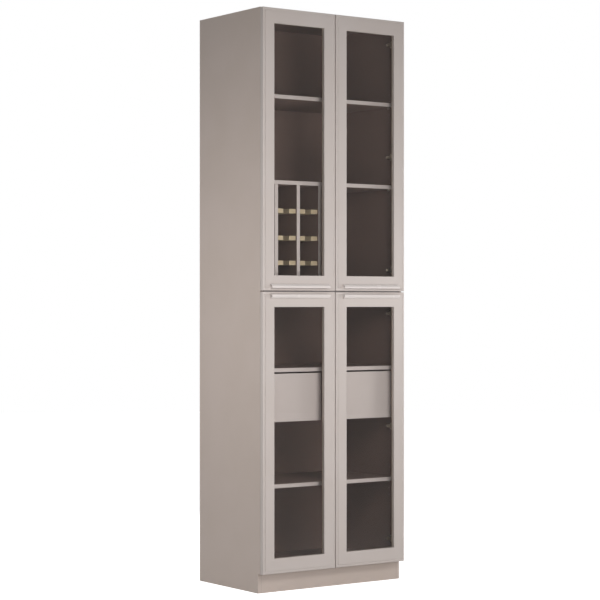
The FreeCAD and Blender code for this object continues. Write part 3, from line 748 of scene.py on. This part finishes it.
def battens(node, name):
    """Light wood battens, rounded along their upper and lower edges."""
    boxes = solid_boxes(node)
    low, high = boxes[0]
    first = new_block("batten", low, high)
    pick_edges_along(first, 1)
    round_over(BATTEN_ROUND, segments=4)
    take(first)
    return joined(name, [copied(first, "batten_copy", place - low) for place, _ in boxes[1:]] + [first])


# Colours and nodes of the finishes
def linear(code):
    """A colour written as sRGB hex, turned to the linear values that shaders take."""
    shares = [int(code[start:start + 2], 16) / 255 for start in (1, 3, 5)]
    return [c / 12.92 if c <= 0.04045 else ((c + 0.055) / 1.055) ** 2.4 for c in shares] + [1.0]


def add_node(tree, kind, inputs=(), **settings):
    """Adds a node, sets it up, and gives its inputs values or the outputs of other nodes."""
    made = tree.nodes.new(kind)
    for name, value in settings.items():
        setattr(made, name, value)
    for name, value in dict(inputs).items():
        if isinstance(value, bpy.types.NodeSocket):
            tree.links.new(value, made.inputs[name])
        else:
            made.inputs[name].default_value = value
    return made


def new_finish(name, **surface):
    """A material, its tree, its Principled shader, and the place on the piece that patterns follow."""
    material = bpy.data.materials.new(name)
    material.use_nodes = True
    tree = material.node_tree
    tree.nodes.clear()
    shader = add_node(tree, "ShaderNodeBsdfPrincipled", surface)
    add_node(tree, "ShaderNodeOutputMaterial", {"Surface": shader.outputs[0]})
    place = add_node(tree, "ShaderNodeTexCoord").outputs["Object"]
    return material, tree, shader, place


def sprayed(name, colour, cloud, rough_low, rough_high):
    """Sprayed lacquer, rubbed to satin: even colour with faint clouds, patches of gloss and orange peel."""
    material, tree, shader, place = new_finish(name, IOR=1.5)
    clouds = add_node(tree, "ShaderNodeTexNoise", {"Vector": place, "Scale": 1 / SPRAY_CLOUD, "Detail": 3.0})
    share = add_node(tree, "ShaderNodeMapRange", {"Value": clouds.outputs[0], "From Min": 0.3,
                                                  "From Max": 0.7})
    shade = add_node(tree, "ShaderNodeMix", {0: share.outputs[0], 6: linear(colour), 7: linear(cloud)},
                     data_type="RGBA")
    tree.links.new(shade.outputs[2], shader.inputs["Base Color"])
    patches = add_node(tree, "ShaderNodeTexNoise", {"Vector": place, "Scale": 1 / SPRAY_PATCH, "Detail": 2.0})
    gloss = add_node(tree, "ShaderNodeMapRange", {"Value": patches.outputs[0], "From Min": 0.3,
                                                  "From Max": 0.7, "To Min": rough_low,
                                                  "To Max": rough_high})
    tree.links.new(gloss.outputs[0], shader.inputs["Roughness"])
    peel = add_node(tree, "ShaderNodeTexNoise", {"Vector": place, "Scale": 1 / ORANGE_PEEL, "Detail": 1.0})
    bump = add_node(tree, "ShaderNodeBump", {"Height": peel.outputs[0], "Distance": 0.02 * MM})
    tree.links.new(bump.outputs[0], shader.inputs["Normal"])
    return material


def faced_board(name, face, other, source, axis, start, end):
    """Board with a pressed face and another finish where its place or its normal runs from start to end.
    Each finish is its colour, a second colour, the size of its grain and its roughness."""
    material, tree, shader, place = new_finish(name, IOR=1.5)
    spot = add_node(tree, "ShaderNodeTexCoord")
    parts = add_node(tree, "ShaderNodeSeparateXYZ", {0: spot.outputs[source]})
    turn = add_node(tree, "ShaderNodeMapRange", {"Value": parts.outputs[axis], "From Min": start,
                                                 "From Max": end})
    shades, grains, roughnesses = [], [], []
    for colour, second, grain, roughness in (face, other):
        roughnesses.append(roughness)
        grains.append(add_node(tree, "ShaderNodeTexNoise", {"Vector": place, "Scale": 1 / grain,
                                                            "Detail": 4.0}))
        share = add_node(tree, "ShaderNodeMapRange", {"Value": grains[-1].outputs[0], "From Min": 0.35,
                                                      "From Max": 0.65})
        shades.append(add_node(tree, "ShaderNodeMix", {0: share.outputs[0], 6: linear(colour),
                                                       7: linear(second)}, data_type="RGBA"))
    shade = add_node(tree, "ShaderNodeMix", {0: turn.outputs[0], 6: shades[0].outputs[2],
                                             7: shades[1].outputs[2]}, data_type="RGBA")
    tree.links.new(shade.outputs[2], shader.inputs["Base Color"])
    gloss = add_node(tree, "ShaderNodeMapRange", {"Value": turn.outputs[0], "To Min": roughnesses[0],
                                                  "To Max": roughnesses[1]})
    tree.links.new(gloss.outputs[0], shader.inputs["Roughness"])
    bump = add_node(tree, "ShaderNodeBump", {"Height": grains[0].outputs[0], "Distance": 0.005 * MM})
    tree.links.new(bump.outputs[0], shader.inputs["Normal"])
    return material


def raw_chipboard(name):
    """Unfaced chipboard: pressed chips in three straw and tan tones, dry and rough."""
    material, tree, shader, place = new_finish(name, IOR=1.45, Roughness=0.85)
    warp = add_node(tree, "ShaderNodeTexNoise", {"Vector": place, "Scale": 0.5 / CHIP, "Detail": 2.0})
    push_aside = add_node(tree, "ShaderNodeVectorMath", {0: warp.outputs["Color"], 1: (CHIP, CHIP, CHIP),
                                                         2: place}, operation="MULTIPLY_ADD")
    chips = add_node(tree, "ShaderNodeTexVoronoi", {"Vector": push_aside.outputs[0], "Scale": 1 / CHIP})
    tone = add_node(tree, "ShaderNodeSeparateColor", {0: chips.outputs["Color"]})
    ramp = add_node(tree, "ShaderNodeValToRGB", {0: tone.outputs[0]})
    ramp.color_ramp.elements[0].color = linear("#A98A63")
    ramp.color_ramp.elements[1].color = linear("#CDB28A")
    ramp.color_ramp.elements.new(0.55).color = linear("#BEA077")
    tree.links.new(ramp.outputs[0], shader.inputs["Base Color"])
    bump = add_node(tree, "ShaderNodeBump", {"Height": chips.outputs[0], "Distance": 0.3 * MM,
                                             "Strength": 0.4})
    tree.links.new(bump.outputs[0], shader.inputs["Normal"])
    return material


def planed_wood(name, early, late, pore, ring, mark_width, mark_length, roughness):
    """Planed wood with its grain along the battens, so that their ends show end grain: soft growth rings of
    two tones, crossed by darker pores or flecks."""
    material, tree, shader, place = new_finish(name, IOR=1.45)
    rings = add_node(tree, "ShaderNodeTexWave", {"Vector": place, "Scale": WAVE_LENGTH / ring,
                                                 "Distortion": 5.0, "Detail": 2.0, "Detail Scale": 0.4},
                     wave_type="RINGS", rings_direction="Y")
    wood = add_node(tree, "ShaderNodeMix", {0: rings.outputs[1], 6: linear(early), 7: linear(late)},
                    data_type="RGBA")
    along = add_node(tree, "ShaderNodeMapping", {"Vector": place, "Scale": (1 / mark_width, 1 / mark_length,
                                                                            1 / mark_width)})
    marks = add_node(tree, "ShaderNodeTexNoise", {"Vector": along.outputs[0], "Scale": 1.0, "Detail": 3.0})
    share = add_node(tree, "ShaderNodeMapRange", {"Value": marks.outputs[0], "From Min": 0.52,
                                                  "From Max": 0.78})
    shade = add_node(tree, "ShaderNodeMix", {0: share.outputs[0], 6: wood.outputs[2], 7: linear(pore)},
                     data_type="RGBA")
    tree.links.new(shade.outputs[2], shader.inputs["Base Color"])
    gloss = add_node(tree, "ShaderNodeMapRange", {"Value": marks.outputs[0], "To Min": roughness - 0.1,
                                                  "To Max": roughness + 0.1})
    tree.links.new(gloss.outputs[0], shader.inputs["Roughness"])
    bump = add_node(tree, "ShaderNodeBump", {"Height": marks.outputs[0], "Distance": 0.1 * MM,
                                             "Strength": 0.5})
    tree.links.new(bump.outputs[0], shader.inputs["Normal"])
    return material


def plated(name, colour, second, rough_low, rough_high, grain):
    """Plated steel: one metal colour that clouds a little, its gloss broken by the marks of tumbling."""
    material, tree, shader, place = new_finish(name, Metallic=1.0)
    cells = add_node(tree, "ShaderNodeTexVoronoi", {"Vector": place, "Scale": 1 / grain})
    tone = add_node(tree, "ShaderNodeSeparateColor", {0: cells.outputs["Color"]})
    shade = add_node(tree, "ShaderNodeMix", {0: tone.outputs[0], 6: linear(colour), 7: linear(second)},
                     data_type="RGBA")
    tree.links.new(shade.outputs[2], shader.inputs["Base Color"])
    marks = add_node(tree, "ShaderNodeTexNoise", {"Vector": place, "Scale": 1 / TUMBLED_MARK, "Detail": 5.0})
    gloss = add_node(tree, "ShaderNodeMapRange", {"Value": marks.outputs[0], "From Min": 0.3, "From Max": 0.7,
                                                  "To Min": rough_low, "To Max": rough_high})
    tree.links.new(gloss.outputs[0], shader.inputs["Roughness"])
    return material


def moulded(name, colour, second, rough_low, rough_high, depth):
    """Moulded or extruded plastic: one body colour with the fine grain of its tool."""
    material, tree, shader, place = new_finish(name, IOR=1.5)
    flow = add_node(tree, "ShaderNodeTexNoise", {"Vector": place, "Scale": 0.1 / MOULD_GRAIN, "Detail": 2.0})
    shade = add_node(tree, "ShaderNodeMix", {0: flow.outputs[0], 6: linear(colour), 7: linear(second)},
                     data_type="RGBA")
    tree.links.new(shade.outputs[2], shader.inputs["Base Color"])
    grain = add_node(tree, "ShaderNodeTexNoise", {"Vector": place, "Scale": 1 / MOULD_GRAIN, "Detail": 2.0})
    gloss = add_node(tree, "ShaderNodeMapRange", {"Value": grain.outputs[0], "From Min": 0.3, "From Max": 0.7,
                                                  "To Min": rough_low, "To Max": rough_high})
    tree.links.new(gloss.outputs[0], shader.inputs["Roughness"])
    bump = add_node(tree, "ShaderNodeBump", {"Height": grain.outputs[0], "Distance": depth})
    tree.links.new(bump.outputs[0], shader.inputs["Normal"])
    return material


def bronze_glass(name, tint, sheen):
    """Float glass with a breath of bronze, wiped clean. Its gloss is toned down, because the white studio
    would hide the shelves. Light on its way to a surface goes straight through, so that the shelves are
    lit."""
    surface = {"Base Color": linear(tint), "IOR": 1.5, "Transmission Weight": 1.0,
               "Specular Tint": linear(sheen)}
    material, tree, shader, place = new_finish(name, **surface)
    wiped = add_node(tree, "ShaderNodeTexNoise", {"Vector": place, "Scale": 1 / WIPE_MARK, "Detail": 3.0})
    haze = add_node(tree, "ShaderNodeMapRange", {"Value": wiped.outputs[0], "From Min": 0.4, "From Max": 0.7,
                                                 "To Min": 0.0, "To Max": 0.01})
    tree.links.new(haze.outputs[0], shader.inputs["Roughness"])
    ray = add_node(tree, "ShaderNodeLightPath")
    through = add_node(tree, "ShaderNodeBsdfTransparent", {"Color": linear(tint)})
    lit = add_node(tree, "ShaderNodeMixShader", {0: ray.outputs["Is Diffuse Ray"], 1: shader.outputs[0],
                                                 2: through.outputs[0]})
    shown = add_node(tree, "ShaderNodeMixShader", {0: ray.outputs["Is Shadow Ray"], 1: lit.outputs[0],
                                                   2: through.outputs[0]})
    tree.links.new(shown.outputs[0], tree.nodes["Material Output"].inputs["Surface"])
    return material


# Faces of the boards: colour, second colour, size of the grain and roughness
# the carcass lacquer is painted a little browner than the doors' as painted shade
LACQUER_BROWNED_AS_SHADE = ("#C7B8AF", "#C4B5AB", SPRAY_CLOUD, 0.45)
BANDING = ("#C8C1C2", "#C5BDBE", SPRAY_CLOUD, 0.4)
# the melamine's dark colour is painted shade for the inside of the closed cabinet
DARK_MELAMINE_PAINTED_SHADE = ("#7A6660", "#75615B", MELAMINE_PEARL, 0.5)
RAW_FIBREBOARD = ("#86694C", "#745A41", BOARD_FIBRE, 0.8)
BACK_MIDDLE = sum(corner.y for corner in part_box("back_panel_upper")) / 2
RIGHT_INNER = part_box("side_panel_right")[0].x + BOARD_EASE
LEFT_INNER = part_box("side_panel_left")[1].x - BOARD_EASE

# One finish for each slot. Where two shares follow its colours, they are its lowest and highest roughness.
FINISHES = {
    # sprayed fibreboard, rubbed to satin: even colour and broad, soft highlights
    "door_lacquer": sprayed("satin_taupe_lacquer", "#C9BFBA", "#C7BCB6", 0.30, 0.36),
    # the same paint on the carcass, left duller, its colour a little browner as painted shade of the side
    # panels
    "carcass_lacquer": sprayed("matt_taupe_lacquer_painted_shade", LACQUER_BROWNED_AS_SHADE[0], LACQUER_BROWNED_AS_SHADE[1], 0.42, 0.50),
    # melamine pressed on chipboard: dull with a fine pearl, and paler bands on the forward edges
    # its dark colour is painted shade for the inside of the closed cabinet
    "inner_board": faced_board("banded_melamine_board_painted_shade", DARK_MELAMINE_PAINTED_SHADE, BANDING, "Normal", "Y", -0.6, -0.8),
    # thin fibreboard: melamine towards the inside, dark as painted shade, and raw brown fibres behind
    "back_board": faced_board("fibreboard_back", DARK_MELAMINE_PAINTED_SHADE, RAW_FIBREBOARD, "Object", "Y", BACK_MIDDLE,
                              BACK_MIDDLE + TOUCH),
    "raw_board": raw_chipboard("raw_chipboard"),
    # extruded aluminium under a finer spray, glossier than the doors; paler partly by its own finish and
    # partly as a painted highlight of the lip's crown
    "handle_lacquer": sprayed("lacquered_aluminium_painted_highlight", "#E3DAD6", "#E0D7D3", 0.22, 0.28),
    # ash, planed and oiled: pale wood with long darker pores, its colour greyed and darkened part way as
    # painted shade of the battens inside the cabinet
    "ash_wood": planed_wood("oiled_ash_painted_shade", "#C9BCA3", "#B9A98B", "#98876A", GROWTH_RING, PORE_WIDTH,
                            PORE_LENGTH, 0.5),
    # beech, turned and left dry: warmer, with short flecks
    "beech_dowel": planed_wood("dry_beech", "#D6B38B", "#C79F74", "#A97F56", GROWTH_RING, FLECK_WIDTH,
                               FLECK_LENGTH, 0.65),
    # float glass, wiped clean: clear, with a breath of bronze and little gloss
    "tinted_glass": bronze_glass("bronze_glass", "#F9F7F4", "#7A7A7A"),
    # extruded and moulded plastics: matt strips, clear soft pads, grained black feet
    "glazing_plastic": moulded("extruded_taupe_strip", "#B8ACA4", "#B3A79F", 0.35, 0.45, 0.01 * MM),
    "bumper_rubber": moulded("clear_soft_pad", "#DAD6CE", "#D2CDC4", 0.35, 0.5, 0.01 * MM),
    "foot_plastic": moulded("black_polypropylene", "#232426", "#1D1E20", 0.42, 0.56, 0.04 * MM),
    # steel under nickel: a warm satin; steel under zinc: colder, duller and more clouded
    "nickel_steel": plated("satin_nickel_plate", "#CFC8BD", "#C6BFB3", 0.24, 0.36, ZINC_SPANGLE),
    "zinc_steel": plated("bright_zinc_plate", "#C9CCD0", "#B9BDC2", 0.32, 0.48, ZINC_SPANGLE),
}
# The side panels are lacquered outside, browner as painted shade, and faced with melamine inside, dark as
# painted shade.
SIDE_BOARDS = {
    "left": faced_board("left_side_board", LACQUER_BROWNED_AS_SHADE, DARK_MELAMINE_PAINTED_SHADE, "Object", "X", LEFT_INNER - TOUCH, LEFT_INNER),
    "right": faced_board("right_side_board", LACQUER_BROWNED_AS_SHADE, DARK_MELAMINE_PAINTED_SHADE, "Object", "X", RIGHT_INNER + TOUCH,
                         RIGHT_INNER),
}
for node in frame["nodes"].values():
    node.data.materials[0] = FINISHES[node.data.materials[0].name]


# Assembly
def fit(piece, ease, body, slot, *nodes, finish=None):
    """Eases and shades a piece, gives it its finish and hangs it on its body in place of its CAD nodes."""
    if ease:
        ease_edges(piece, ease)
    shade(piece)
    piece.data.materials.clear()
    piece.data.materials.append(finish or FINISHES[slot])
    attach(piece, body)
    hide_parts(*nodes)


# each part of a door: its name, its maker, the round on its edges and its slot
DOOR_PARTS = (
    ("frame", door_frame, 0.35 * MM, "door_lacquer"),
    ("glass", door_glass, 0.4 * MM, "tinted_glass"),
    ("glazing_beads", glazing_strips, 0.4 * MM, "glazing_plastic"),
    ("handle", door_handle, 0.5 * MM, "handle_lacquer"),
    ("hinge_cups", hinge_cups, 0, "nickel_steel"),
    ("bumpers", bumper_pads, 0, "bumper_rubber"),
)
for tier in ("upper", "lower"):
    for part, make, ease, slot in DOOR_PARTS:
        left = make(f"door_{tier}_left_{part}", f"{tier}_left_door_{part}")
        take()
        right = mirrored(left, f"{tier}_right_door_{part}")
        for side, piece in (("left", left), ("right", right)):
            fit(piece, ease, f"door_{tier}_{side}", slot, f"door_{tier}_{side}_{part}")

fit(both_sides("hinge_arms", "clip_on_hinge_arms", hinge_arm), 0, "cabinet", "nickel_steel", "hinge_arms")
fit(both_sides("hinge_plates", "hinge_mounting_plates", hinge_plate), 0, "cabinet", "nickel_steel",
    "hinge_plates")
fit(both_sides("shelf_pins", "collared_shelf_pins", shelf_pin), STEEL_EASE, "cabinet", "nickel_steel",
    "shelf_pins")
fit(slide_rails("drawer_slide_rails", "screwed_slide_rails"), 0, "cabinet", "zinc_steel",
    "drawer_slide_rails")
left = runners("drawer_left_runners", "left_drawer_runners")
right = mirrored(left, "right_drawer_runners")
fit(left, STEEL_EASE, "drawer_left", "zinc_steel", "drawer_left_runners")
fit(right, STEEL_EASE, "drawer_right", "zinc_steel", "drawer_right_runners")
fit(both_sides("foot_sockets", "ribbed_foot_sockets", foot_socket), 0, "cabinet", "foot_plastic",
    "foot_sockets")
fit(both_sides("foot_screws", "threaded_feet", levelling_foot), 0, "cabinet", "foot_plastic", "foot_screws")
fit(battens("rack_battens", "ash_rack_battens"), STEEL_EASE, "cabinet", "ash_wood", "rack_battens")

CARCASS_BOARDS = {
    "plinth_board": "carcass_lacquer",
    "hanging_rails": "raw_board",
    "top_panel": "inner_board",
    "middle_panel": "inner_board",
    "bottom_panel": "inner_board",
    "shelf_top": "inner_board",
    "shelf_over_rack": "inner_board",
    "shelf_over_drawers": "inner_board",
    "shelf_bottom": "inner_board",
    "rack_uprights": "inner_board",
    "drawer_divider_boards": "inner_board",
}
for node, slot in CARCASS_BOARDS.items():
    fit(board(node, f"eased_{node}"), BOARD_EASE, "cabinet", slot, node)
for side, finish in SIDE_BOARDS.items():
    node = f"side_panel_{side}"
    fit(board(node, f"eased_{node}"), BOARD_EASE, "cabinet", "carcass_lacquer", node, finish=finish)
    for part in ("front", "sides", "back"):
        node = f"drawer_{side}_{part}"
        fit(board(node, f"eased_{node}"), BOARD_EASE, f"drawer_{side}", "inner_board", node)


# Stage
DOORS_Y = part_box("door_upper_left_frame")[0].y
KEY_POWER = 23
FRONT_POWER = 16.5
LEFT_POWER = 12.6
NEAR_RIGHT_POWER = 9.2
FILL_POWER = 25
BACK_POWER = 40
WORLD_LIGHT = 0.1
MIDDLE_UP = 1.35
FLOOR_LIFT = 0.93
FLOOR_RADIUS = 14


def aim(thing, target):
    thing.rotation_euler = (Vector(target) - thing.location).to_track_quat("-Z", "Y").to_euler()


def softbox(name, turn, distance, height_up, target_up, width, height, power):
    """A soft lamp that isn't seen itself, so many degrees left of the doors' front and so far from them."""
    lamp = bpy.data.lights.new(name, "AREA")
    lamp.shape = "RECTANGLE"
    lamp.size = width
    lamp.size_y = height
    lamp.energy = power
    stand = bpy.data.objects.new(name, lamp)
    bpy.context.scene.collection.objects.link(stand)
    target = Vector((0, DOORS_Y, target_up))
    away = Vector((-math.sin(math.radians(turn)), -math.cos(math.radians(turn)), 0))
    stand.location = target + away * distance
    stand.location.z = height_up
    stand.visible_camera = False
    aim(stand, target)


# the two front lamps stand above and below the split, so that neither shines straight into the gap there
softbox("key_softbox", turn=22, distance=2.2, height_up=2.0, target_up=MIDDLE_UP, width=1.0, height=0.8,
        power=KEY_POWER)
softbox("front_softbox", turn=8, distance=2.2, height_up=0.7, target_up=MIDDLE_UP, width=1.0, height=0.8,
        power=FRONT_POWER)
softbox("near_right_softbox", turn=-60, distance=2.0, height_up=MIDDLE_UP, target_up=MIDDLE_UP, width=0.8,
        height=0.8, power=NEAR_RIGHT_POWER)
softbox("left_softbox", turn=99, distance=2.05, height_up=1.3, target_up=1.3, width=0.6, height=0.6,
        power=LEFT_POWER)
softbox("right_softbox", turn=-110, distance=2.7, height_up=1.4, target_up=1.4, width=1.2, height=1.6,
        power=FILL_POWER)
softbox("back_softbox", turn=187, distance=3.2, height_up=1.6, target_up=1.6, width=1.8, height=1.8,
        power=BACK_POWER)


def is_shown(tree):
    """1 for the rays that show a thing to the eye, straight or in gloss and glass, and 0 for those that
    light."""
    ray = add_node(tree, "ShaderNodeLightPath")
    seen = ray.outputs["Is Camera Ray"]
    for other in ("Is Glossy Ray", "Is Transmission Ray"):
        larger = add_node(tree, "ShaderNodeMath", {0: seen, 1: ray.outputs[other]}, operation="MAXIMUM")
        seen = larger.outputs[0]
    return seen


world = bpy.data.worlds.new("white_studio")
bpy.context.scene.world = world
world.use_nodes = True
tree = world.node_tree
tree.nodes.clear()
strength = add_node(tree, "ShaderNodeMapRange", {"Value": is_shown(tree), "To Min": WORLD_LIGHT,
                                                 "To Max": 1.0})
sky = add_node(tree, "ShaderNodeBackground", {"Color": (1, 1, 1, 1), "Strength": strength.outputs[0]})
add_node(tree, "ShaderNodeOutputWorld", {"Surface": sky.outputs[0]})

take()
bpy.ops.mesh.primitive_circle_add(vertices=96, radius=FLOOR_RADIUS, fill_type="NGON", location=(0, 0, 0))
floor = bpy.context.object
floor.name = "studio_floor"
# painted board, lifted to white for the eye, which still shows the cabinet's shadow
painted = {"Roughness": 0.9, "Specular IOR Level": 0.1}
material, tree, shader, place = new_finish("white_painted_floor", **painted)
dust = add_node(tree, "ShaderNodeTexNoise", {"Vector": place, "Scale": 1 / SPRAY_CLOUD, "Detail": 2.0})
shade = add_node(tree, "ShaderNodeMix", {0: dust.outputs[0], 6: linear("#D8D7D6"), 7: linear("#D5D4D3")},
                 data_type="RGBA")
tree.links.new(shade.outputs[2], shader.inputs["Base Color"])
lift = add_node(tree, "ShaderNodeEmission", {"Color": (1, 1, 1, 1), "Strength": FLOOR_LIFT})
lifted = add_node(tree, "ShaderNodeAddShader", {0: shader.outputs[0], 1: lift.outputs[0]})
shown = add_node(tree, "ShaderNodeMixShader", {0: is_shown(tree), 1: shader.outputs[0], 2: lifted.outputs[0]})
tree.links.new(shown.outputs[0], tree.nodes["Material Output"].inputs["Surface"])
floor.data.materials.append(material)

camera = bpy.data.cameras.new("camera")
camera.sensor_width = 36
camera.lens = 112.89
camera.shift_y = 0.0081
camera.clip_end = 100
viewer = bpy.data.objects.new("camera", camera)
bpy.context.scene.collection.objects.link(viewer)
viewer.location = (-5.099, -7.143, 1.285)
viewer.rotation_euler = (math.radians(90), 0, math.radians(-35.42))
bpy.context.scene.camera = viewer
bpy.context.scene.view_settings.view_transform = "Standard"
